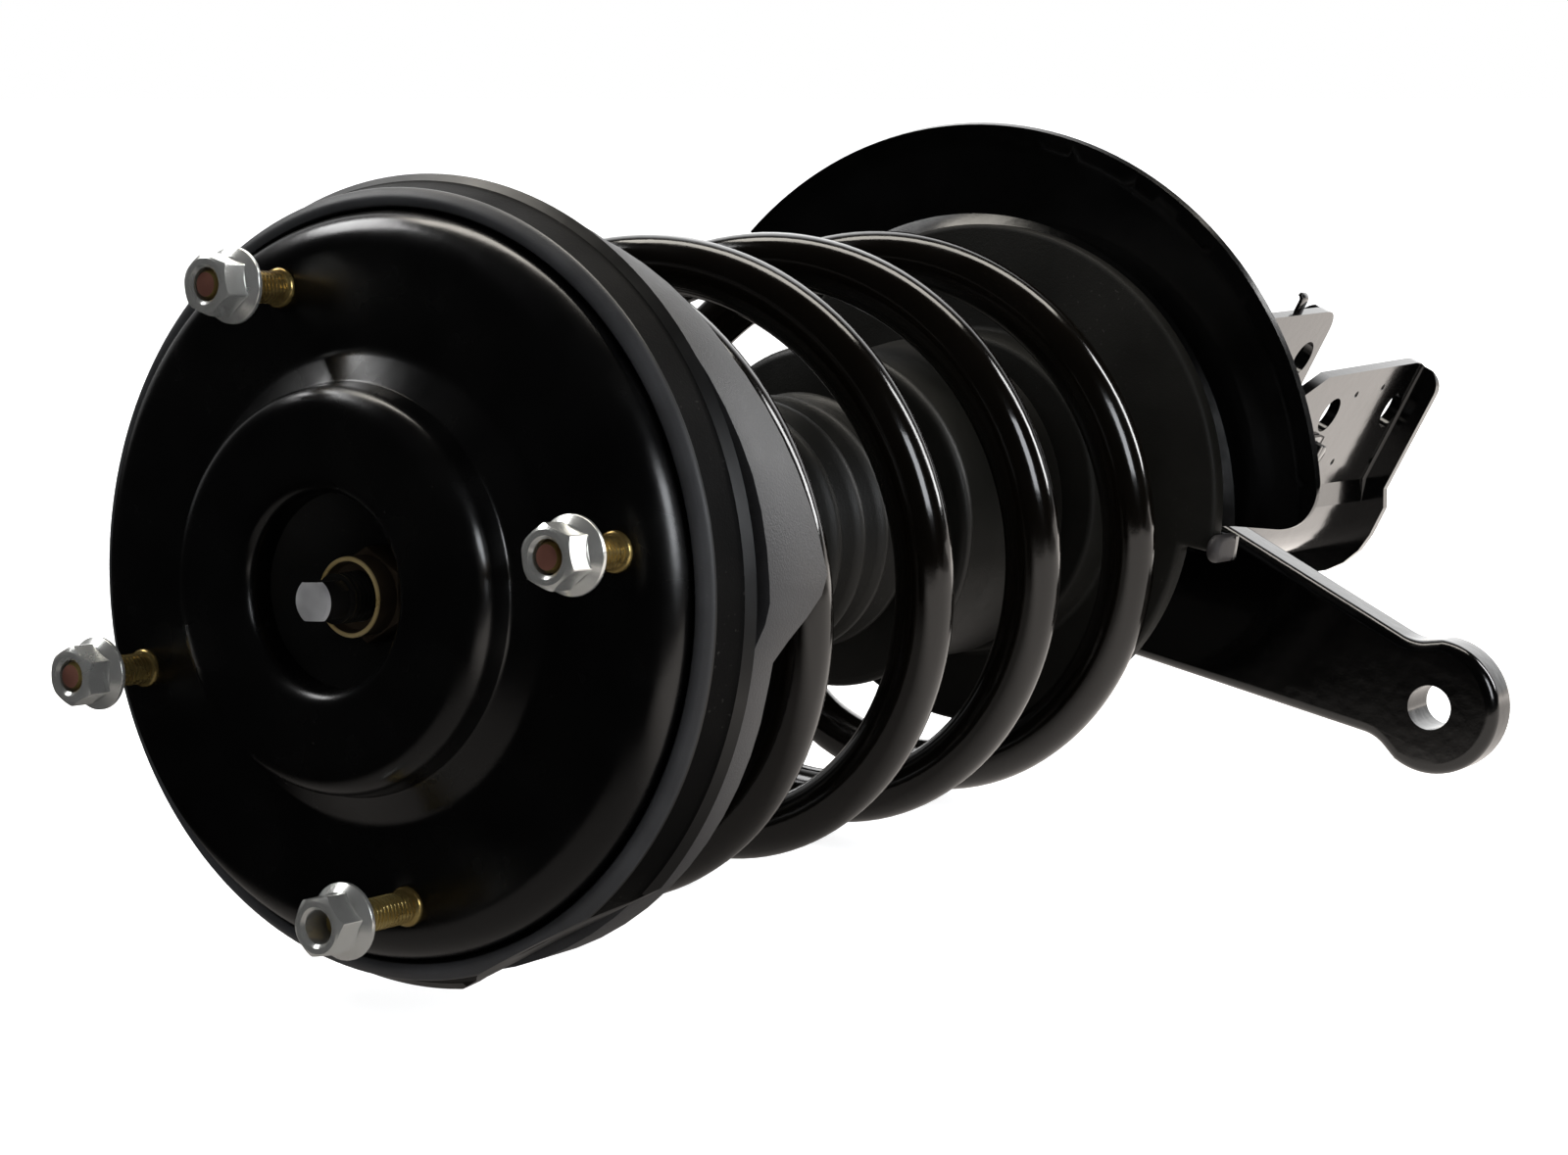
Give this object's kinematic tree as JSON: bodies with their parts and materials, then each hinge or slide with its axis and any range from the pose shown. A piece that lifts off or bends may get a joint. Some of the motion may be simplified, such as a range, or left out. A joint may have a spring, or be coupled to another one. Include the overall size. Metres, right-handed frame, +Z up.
{
  "type": "suspension strut assembly",
  "caption": "Car suspension strut: studded round top mount and bearing over a black coil spring, a damper tube, a guard plate, a steering arm with an eye, and a clevis for the knuckle.",
  "frame": {"origin": "the point where the damper's axis crosses the face of the top mount that meets the car's body", "axes": "+Z up the damper's axis, out of the top mount; +Y outboard, to the wheel and the open side of the clevis; +X along the steering arm, so the arm's eye is on the +X side"},
  "size_m": [0.286, 0.2226, 0.5918],
  "materials": {
    "black_paint": "gloss black paint",
    "rubber": "matt dark rubber",
    "black_plastic": "satin black plastic",
    "zinc": "bright zinc plating",
    "yellow_zinc": "yellow zinc plating",
    "plain_steel": "plain ground steel",
    "chrome_rod": "hard chrome, with a grey phosphated end",
    "sintered_iron": "sintered iron",
    "cage_plastic": "natural plastic",
    "foam": "yellowish foamed rubber"
  },
  "bodies": {
    "top_mount": {"mount_cap": "black_paint", "mount_ring": "black_paint", "mount_rubber": "rubber", "mount_sleeve": "plain_steel", "mount_studs": "yellow_zinc", "stud_nuts": "zinc", "rod_nut": "yellow_zinc", "bearing_carrier": "black_plastic", "bearing_upper_race": "plain_steel", "bump_stop": "foam", "piston_rod": "chrome_rod", "rebound_stop": "foam", "piston": "sintered_iron", "piston_ring": "cage_plastic", "piston_nut": "plain_steel"},
    "spring_seat": {"bearing_balls": "plain_steel", "bearing_cage": "cage_plastic", "bearing_lower_race": "plain_steel", "upper_seat": "black_paint", "upper_isolator": "rubber", "coil_spring": "black_paint", "dust_boot": "black_plastic"},
    "strut": {"strut_tube": "black_paint", "tube_cap": "black_paint", "rod_seal": "rubber", "rod_guide": "sintered_iron", "inner_cylinder": "plain_steel", "base_valve": "sintered_iron", "tube_base": "black_paint", "lower_seat": "black_paint", "lower_isolator": "rubber", "guard_plate": "black_paint", "steering_arm": "black_paint", "clevis_bracket": "black_paint", "hose_tab": "black_paint", "cable_clip": "black_paint"}
  },
  "joints": [
    {"name": "steer_swivel", "type": "hinge", "parent": "top_mount", "child": "spring_seat", "pos_m": [0, 0, 0], "axis": [0, 0, 1], "range_deg": [-40, 40]},
    {"name": "damper_travel", "type": "slide", "parent": "spring_seat", "child": "strut", "axis": [0, 0, 1], "range_m": [0, 0.11], "stiffness_N_per_m": 22000, "deforming": ["coil_spring", "dust_boot"]}
  ]
}
